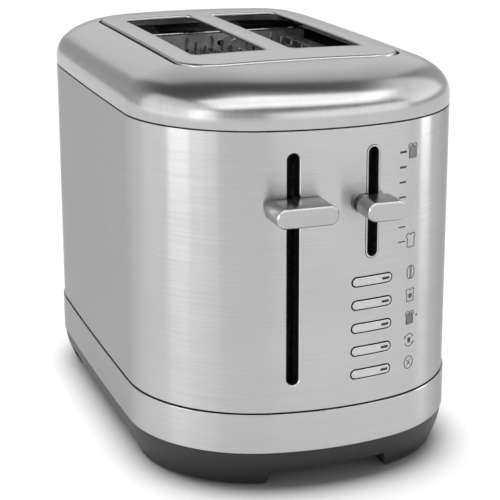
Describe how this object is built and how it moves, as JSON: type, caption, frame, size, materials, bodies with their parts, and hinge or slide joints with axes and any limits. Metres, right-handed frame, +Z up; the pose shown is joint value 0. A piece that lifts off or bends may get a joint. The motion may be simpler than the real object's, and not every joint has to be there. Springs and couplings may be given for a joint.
{
  "type": "pop up toaster",
  "caption": "Pop-up bread toaster with a brushed steel body and satin top, a lift lever, a browning slider, push buttons and a rear crumb tray.",
  "frame": {"origin": "on the surface the toaster stands on, under the middle of its bounding box", "axes": "+X to the right of a person facing the control panel, +Y away from that person, from the panel to the rear, +Z up"},
  "size_m": [0.1814, 0.3166, 0.217],
  "materials": {
    "brushed_stainless": "horizontally brushed",
    "satin_cast_metal": "satin, lightly polished at the edges",
    "satin_knob_metal": "satin with a bright chamfer",
    "charcoal_plastic": "fine moulded texture",
    "black_plastic": "matte moulded",
    "black_rubber": "matte",
    "zinc_plated_steel": "zinc plated sheet, slightly spangled",
    "plain_steel": "bright drawn or pressed",
    "mica_board": "flaky mica",
    "resistance_ribbon": "heat-tinted",
    "copper_winding": "enamelled wire",
    "circuit_board_green": "solder resist",
    "smoked_window": "glossy dark"
  },
  "bodies": {
    "housing": {"top_cover": "satin_cast_metal", "slot_plate": "satin_cast_metal", "body_wrap": "brushed_stainless", "lower_band": "brushed_stainless", "base_housing": "charcoal_plastic", "rubber_foot_front_left": "black_rubber", "rubber_foot_front_right": "black_rubber", "rubber_foot_rear_left": "black_rubber", "rubber_foot_rear_right": "black_rubber", "base_screw_front_left": "plain_steel", "base_screw_front_right": "plain_steel", "base_screw_rear_left": "plain_steel", "base_screw_rear_right": "plain_steel", "guide_rod": "plain_steel", "return_spring": "plain_steel", "magnet_core": "plain_steel", "front_chassis_plate": "zinc_plated_steel", "rear_chassis_plate": "zinc_plated_steel", "side_heat_shield_left": "zinc_plated_steel", "side_heat_shield_right": "zinc_plated_steel", "rod_bracket": "zinc_plated_steel", "heater_board_outer_left": "mica_board", "heater_board_centre": "mica_board", "heater_board_outer_right": "mica_board", "heating_element_outer_left": "resistance_ribbon", "heating_element_centre_left": "resistance_ribbon", "heating_element_centre_right": "resistance_ribbon", "heating_element_outer_right": "resistance_ribbon", "magnet_coil": "copper_winding", "cord_gland": "black_plastic", "lever_slot_trim": "black_plastic", "control_fascia": "black_plastic", "shade_slide_pot": "black_plastic", "control_board": "circuit_board_green", "power_board": "circuit_board_green", "shade_slot_trim": "satin_knob_metal"},
    "lift": {"bread_rack_left": "zinc_plated_steel", "bread_rack_right": "zinc_plated_steel", "lift_carriage": "zinc_plated_steel", "lever_arm": "plain_steel", "lift_knob": "satin_knob_metal", "armature_plate": "plain_steel"},
    "tray": {"crumb_tray": "zinc_plated_steel", "crumb_tray_grip": "charcoal_plastic"},
    "shade": {"shade_slider_stem": "black_plastic", "shade_knob": "satin_knob_metal"},
    "guard_left_outer": {"bread_guard_left_outer": "plain_steel"},
    "guard_left_inner": {"bread_guard_left_inner": "plain_steel"},
    "guard_right_inner": {"bread_guard_right_inner": "plain_steel"},
    "guard_right_outer": {"bread_guard_right_outer": "plain_steel"},
    "push_bagel": {"button_bagel": "satin_knob_metal", "light_window_bagel": "smoked_window"},
    "push_frozen": {"button_frozen": "satin_knob_metal", "light_window_frozen": "smoked_window"},
    "push_extra": {"button_extra": "satin_knob_metal", "light_window_extra": "smoked_window"},
    "push_reheat": {"button_reheat": "satin_knob_metal", "light_window_reheat": "smoked_window"},
    "push_cancel": {"button_cancel": "satin_knob_metal", "light_window_cancel": "smoked_window"}
  },
  "joints": [
    {"name": "lift_slide", "type": "slide", "parent": "housing", "child": "lift", "axis": [0, 0, 1], "range_m": [-0.084, 0.019], "stiffness_N_per_m": 120, "springref_m": 0.0079, "deforming": ["return_spring"]},
    {"name": "guard_left_outer_slide", "type": "slide", "parent": "housing", "child": "guard_left_outer", "axis": [1, 0, 0], "range_m": [-0.0019, 0.0081]},
    {"name": "guard_left_inner_slide", "type": "slide", "parent": "housing", "child": "guard_left_inner", "axis": [-1, 0, 0], "range_m": [-0.0019, 0.0081]},
    {"name": "guard_right_inner_slide", "type": "slide", "parent": "housing", "child": "guard_right_inner", "axis": [1, 0, 0], "range_m": [-0.0019, 0.0081]},
    {"name": "guard_right_outer_slide", "type": "slide", "parent": "housing", "child": "guard_right_outer", "axis": [-1, 0, 0], "range_m": [-0.0019, 0.0081]},
    {"name": "tray_slide", "type": "slide", "parent": "housing", "child": "tray", "axis": [0, 1, 0], "range_m": [0, 0.2]},
    {"name": "shade_slide", "type": "slide", "parent": "housing", "child": "shade", "axis": [0, 0, 1], "range_m": [-0.0236, 0.0236]},
    {"name": "push_bagel_slide", "type": "slide", "parent": "housing", "child": "push_bagel", "axis": [-0.1435, 0.9897, 0], "range_m": [0, 0.0015], "stiffness_N_per_m": 800},
    {"name": "push_frozen_slide", "type": "slide", "parent": "housing", "child": "push_frozen", "axis": [-0.1435, 0.9897, 0], "range_m": [0, 0.0015], "stiffness_N_per_m": 800},
    {"name": "push_extra_slide", "type": "slide", "parent": "housing", "child": "push_extra", "axis": [-0.1435, 0.9897, 0], "range_m": [0, 0.0015], "stiffness_N_per_m": 800},
    {"name": "push_reheat_slide", "type": "slide", "parent": "housing", "child": "push_reheat", "axis": [-0.1435, 0.9897, 0], "range_m": [0, 0.0015], "stiffness_N_per_m": 800},
    {"name": "push_cancel_slide", "type": "slide", "parent": "housing", "child": "push_cancel", "axis": [-0.1435, 0.9897, 0], "range_m": [0, 0.0015], "stiffness_N_per_m": 800}
  ],
  "couplings": [
    {"joint": "guard_left_outer_slide", "follows": "lift_slide", "ratio": -0.0952},
    {"joint": "guard_left_inner_slide", "follows": "lift_slide", "ratio": -0.0952},
    {"joint": "guard_right_inner_slide", "follows": "lift_slide", "ratio": -0.0952},
    {"joint": "guard_right_outer_slide", "follows": "lift_slide", "ratio": -0.0952}
  ]
}
